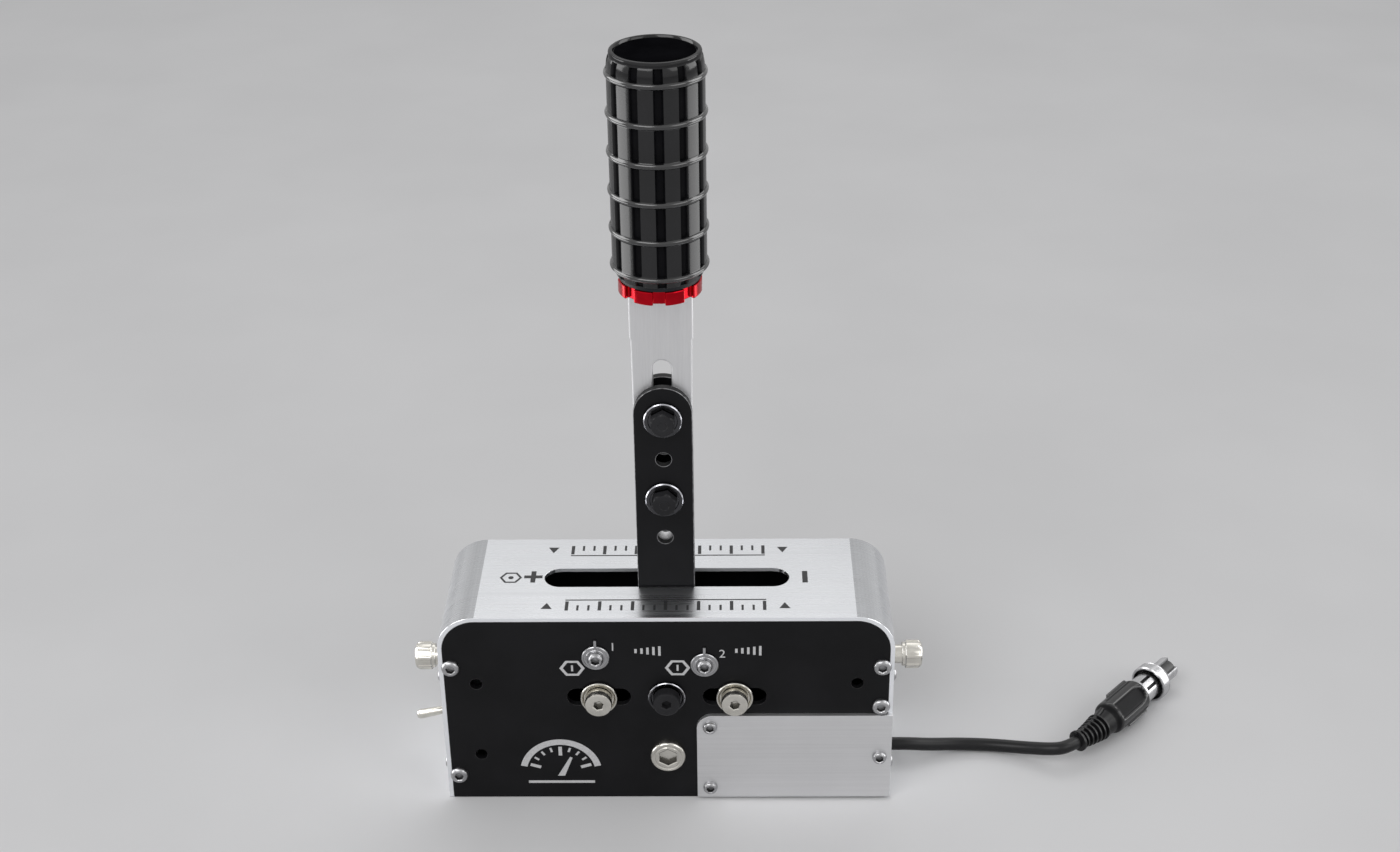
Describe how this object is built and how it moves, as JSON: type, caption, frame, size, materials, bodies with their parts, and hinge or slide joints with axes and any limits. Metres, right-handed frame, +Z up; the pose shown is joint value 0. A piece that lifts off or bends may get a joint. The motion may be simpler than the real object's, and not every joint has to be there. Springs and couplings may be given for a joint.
{
  "type": "sim racing handbrake",
  "caption": "Sim racing handbrake: fork lever with height-adjustable ribbed grip on a brushed metal housing, with spring preload knobs, mode selectors, toggle switch and plug lead.",
  "frame": {"origin": "centre of the housing's underside", "axes": "+X along the housing towards the cord end, +Y from the front plate with the badge plate to the rear plate, +Z up along the lever at rest"},
  "size_m": [0.3622, 0.0966, 0.3425],
  "materials": {
    "cover_aluminium": "brushed along the length",
    "machined_aluminium": "machined",
    "black_coat": "satin powder coat",
    "bar_aluminium": "bead blasted",
    "red_anodised": "gloss red anodised",
    "grip_black": "glossy moulded",
    "core_black": "moulded",
    "nickel": "polished nickel",
    "screw_steel": "zinc plated",
    "black_steel": "black oxide",
    "spring_steel": "drawn wire",
    "bronze": "turned",
    "magnet": "plated",
    "board_green": "solder mask",
    "chip_black": "moulded",
    "post_nylon": "moulded",
    "cord_rubber": "satin jacket",
    "plug_black": "moulded",
    "plug_metal": "bright nickel",
    "insert_plastic": "moulded"
  },
  "bodies": {
    "housing": {"top_cover": "cover_aluminium", "front_plate": "black_coat", "rear_plate": "black_coat", "badge_plate": "cover_aluminium", "base_plate": "black_coat", "end_block_left": "machined_aluminium", "end_block_right": "machined_aluminium", "front_plate_screws": "screw_steel", "rear_plate_screws": "screw_steel", "end_wall_screws": "screw_steel", "base_screws": "screw_steel", "badge_screws": "screw_steel", "pivot_bolt": "screw_steel", "pivot_nut": "screw_steel", "pivot_sleeves": "screw_steel", "friction_plunger": "black_steel", "plunger_ring": "screw_steel", "spring_left": "spring_steel", "spring_right": "spring_steel", "toggle_switch": "chip_black", "toggle_nut": "nickel", "sensor_board": "board_green", "main_board": "board_green", "board_posts": "post_nylon", "board_parts": "chip_black", "cord_gland": "cord_rubber", "cord": "cord_rubber", "plug_boot": "cord_rubber", "plug_body": "plug_black", "plug_shell": "plug_metal", "plug_insert": "insert_plastic"},
    "lever": {"fork_bar_front": "black_coat", "fork_bar_rear": "black_coat", "pivot_bush": "bronze", "fork_spacers": "screw_steel", "drive_pin": "screw_steel", "sensor_magnet": "magnet", "height_bolts": "black_steel", "height_washers": "screw_steel", "height_nuts": "black_steel"},
    "handle": {"handle_bar": "bar_aluminium", "collar": "red_anodised", "grip_core": "core_black", "grip_sleeve": "grip_black", "grip_cap": "grip_black"},
    "carriage": {"spring_carriage": "machined_aluminium", "guide_pins": "nickel", "guide_rings": "nickel"},
    "adjuster_left": {"adjuster_rod_left": "screw_steel", "knob_left": "nickel"},
    "adjuster_right": {"adjuster_rod_right": "screw_steel", "knob_right": "nickel"},
    "seat_left": {"spring_seat_left": "bronze"},
    "seat_right": {"spring_seat_right": "bronze"},
    "selector_left": {"selector_left": "nickel", "selector_cam_left": "screw_steel"},
    "selector_right": {"selector_right": "nickel", "selector_cam_right": "screw_steel"},
    "toggle": {"toggle_bat": "nickel"},
    "plug_ring": {"coupling_ring": "plug_metal"}
  },
  "joints": [
    {"name": "lever_swing", "type": "hinge", "parent": "housing", "child": "lever", "pos_m": [0, 0, 0.0243], "axis": [0, 1, 0], "range_deg": [-17.2, 17.2], "stiffness_Nm_per_rad": 25},
    {"name": "carriage_slide", "type": "slide", "parent": "housing", "child": "carriage", "axis": [1, 0, 0], "range_m": [-0.0096, 0.0096], "deforming": ["spring_left", "spring_right"]},
    {"name": "handle_height", "type": "slide", "parent": "lever", "child": "handle", "axis": [0, 0, 1], "range_m": [-0.022, 0.019]},
    {"name": "seat_left_slide", "type": "slide", "parent": "housing", "child": "seat_left", "axis": [1, 0, 0], "range_m": [-0.00375, 0.00375]},
    {"name": "knob_left_turn", "type": "hinge", "parent": "housing", "child": "adjuster_left", "pos_m": [-0.11, 0, 0.056], "axis": [1, 0, 0], "range_deg": [-1080, 1080]},
    {"name": "seat_right_slide", "type": "slide", "parent": "housing", "child": "seat_right", "axis": [1, 0, 0], "range_m": [-0.00375, 0.00375]},
    {"name": "knob_right_turn", "type": "hinge", "parent": "housing", "child": "adjuster_right", "pos_m": [0.11, 0, 0.056], "axis": [1, 0, 0], "range_deg": [-1080, 1080]},
    {"name": "selector_left_turn", "type": "hinge", "parent": "housing", "child": "selector_left", "pos_m": [-0.0308, -0.032, 0.0774], "axis": [0, 1, 0], "range_deg": [0, 90]},
    {"name": "selector_right_turn", "type": "hinge", "parent": "housing", "child": "selector_right", "pos_m": [0.0168, -0.032, 0.0735], "axis": [0, 1, 0], "range_deg": [0, 90]},
    {"name": "toggle_flip", "type": "hinge", "parent": "housing", "child": "toggle", "pos_m": [-0.099, 0, 0.0265], "axis": [0, 1, 0], "range_deg": [0, 25]},
    {"name": "coupling_turn", "type": "hinge", "parent": "housing", "child": "plug_ring", "pos_m": [0.23162, 0.04211, 0.0092], "axis": [0.6561, 0.7547, 0], "continuous": true}
  ],
  "couplings": [
    {"joint": "carriage_slide", "follows": "lever_swing", "m_per_rad": 0.03141},
    {"joint": "knob_left_turn", "follows": "seat_left_slide", "rad_per_m": -5026.6},
    {"joint": "knob_right_turn", "follows": "seat_right_slide", "rad_per_m": -5026.6}
  ]
}
